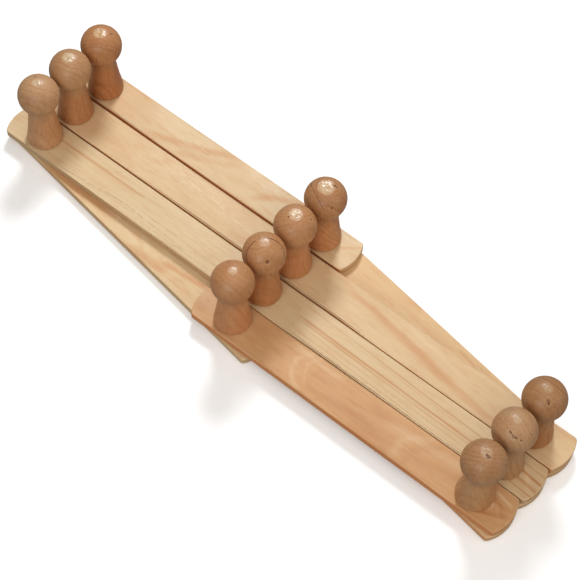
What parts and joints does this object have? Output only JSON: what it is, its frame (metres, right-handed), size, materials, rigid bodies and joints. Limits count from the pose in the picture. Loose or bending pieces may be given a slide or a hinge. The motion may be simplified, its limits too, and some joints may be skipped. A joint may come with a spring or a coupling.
{
  "type": "expanding lattice peg rack",
  "caption": "Wooden accordion peg rack: crossed flat slats pivot together under turned ball-headed pegs, shown nearly folded shut.",
  "frame": {"origin": "middle of the folded lattice, on the plane of the back slats' rear faces that lie on the wall", "axes": "+Y along the slats towards the top row of pegs, +X along the rows in the direction in which the lattice opens, +Z out of the wall along the pegs"},
  "size_m": [0.1216, 0.4564, 0.0761],
  "materials": {
    "slat_front_1": "satin orange-brown wood with soft swirling figure",
    "slat_front_2": "satin pale wood with long straight brown grain lines",
    "slat_front_3": "satin pale wood with fine flecks and a pinkish cathedral streak",
    "slat_front_4": "satin pale wood with pinkish mottling",
    "slat_back_1": "satin pale wood with an orange patch",
    "slat_back_2": "satin pale wood",
    "slat_back_3": "satin pale wood",
    "slat_back_4": "satin golden wood",
    "peg": "turned, lightly lacquered tan-brown wood with growth rings on the crown",
    "screw": "zinc plated",
    "washer": "zinc plated"
  },
  "bodies": {
    "back_slat_2": {"back_slat_2_long": "slat_back_2"},
    "front_slat_1": {"front_slat_1_short": "slat_front_1", "peg_middle_1": "peg", "peg_bottom_1": "peg", "screw_middle_1": "screw", "screw_bottom_1": "screw", "washer_middle_1": "washer", "washer_bottom_1": "washer"},
    "front_slat_2": {"front_slat_2_long": "slat_front_2", "peg_top_1": "peg", "peg_middle_2": "peg", "peg_bottom_2": "peg", "screw_top_1": "screw", "screw_middle_2": "screw", "screw_bottom_2": "screw", "washer_top_1": "washer", "washer_middle_2": "washer", "washer_bottom_2": "washer"},
    "front_slat_3": {"front_slat_3_long": "slat_front_3", "peg_top_2": "peg", "peg_middle_3": "peg", "peg_bottom_3": "peg", "screw_top_2": "screw", "screw_middle_3": "screw", "screw_bottom_3": "screw", "washer_top_2": "washer", "washer_middle_3": "washer", "washer_bottom_3": "washer"},
    "front_slat_4": {"front_slat_4_short": "slat_front_4", "peg_top_3": "peg", "peg_middle_4": "peg", "screw_top_3": "screw", "screw_middle_4": "screw", "washer_top_3": "washer", "washer_middle_4": "washer"},
    "back_slat_1": {"back_slat_1_short": "slat_back_1"},
    "back_slat_3": {"back_slat_3_long": "slat_back_3"},
    "back_slat_4": {"back_slat_4_short": "slat_back_4"}
  },
  "joints": [
    {"name": "lattice_fold", "type": "hinge", "parent": "back_slat_2", "child": "front_slat_2", "pos_m": [-0.0149, 0, 0.00615], "axis": [0, 0, 1], "range_deg": [0, 162]},
    {"name": "pivot_bottom_1", "type": "hinge", "parent": "back_slat_2", "child": "front_slat_1", "pos_m": [-0.0298, -0.19944, 0.00615], "axis": [0, 0, 1], "range_deg": [0, 162]},
    {"name": "pivot_top_2", "type": "hinge", "parent": "back_slat_2", "child": "front_slat_3", "pos_m": [0, 0.19944, 0.00615], "axis": [0, 0, 1], "range_deg": [0, 162]},
    {"name": "pivot_top_1", "type": "hinge", "parent": "front_slat_2", "child": "back_slat_1", "pos_m": [-0.0298, 0.19944, 0.00615], "axis": [0, 0, -1], "range_deg": [0, 162]},
    {"name": "pivot_bottom_2", "type": "hinge", "parent": "front_slat_2", "child": "back_slat_3", "pos_m": [0, -0.19944, 0.00615], "axis": [0, 0, -1], "range_deg": [0, 162]},
    {"name": "pivot_bottom_3", "type": "hinge", "parent": "front_slat_3", "child": "back_slat_4", "pos_m": [0.0298, -0.19944, 0.00615], "axis": [0, 0, -1], "range_deg": [0, 162]},
    {"name": "pivot_top_3", "type": "hinge", "parent": "back_slat_3", "child": "front_slat_4", "pos_m": [0.0298, 0.19944, 0.00615], "axis": [0, 0, 1], "range_deg": [0, 162]}
  ],
  "couplings": [
    {"joint": "pivot_bottom_1", "follows": "lattice_fold", "ratio": 1},
    {"joint": "pivot_top_2", "follows": "lattice_fold", "ratio": 1},
    {"joint": "pivot_top_1", "follows": "lattice_fold", "ratio": 1},
    {"joint": "pivot_bottom_2", "follows": "lattice_fold", "ratio": 1},
    {"joint": "pivot_bottom_3", "follows": "lattice_fold", "ratio": 1},
    {"joint": "pivot_top_3", "follows": "lattice_fold", "ratio": 1}
  ]
}
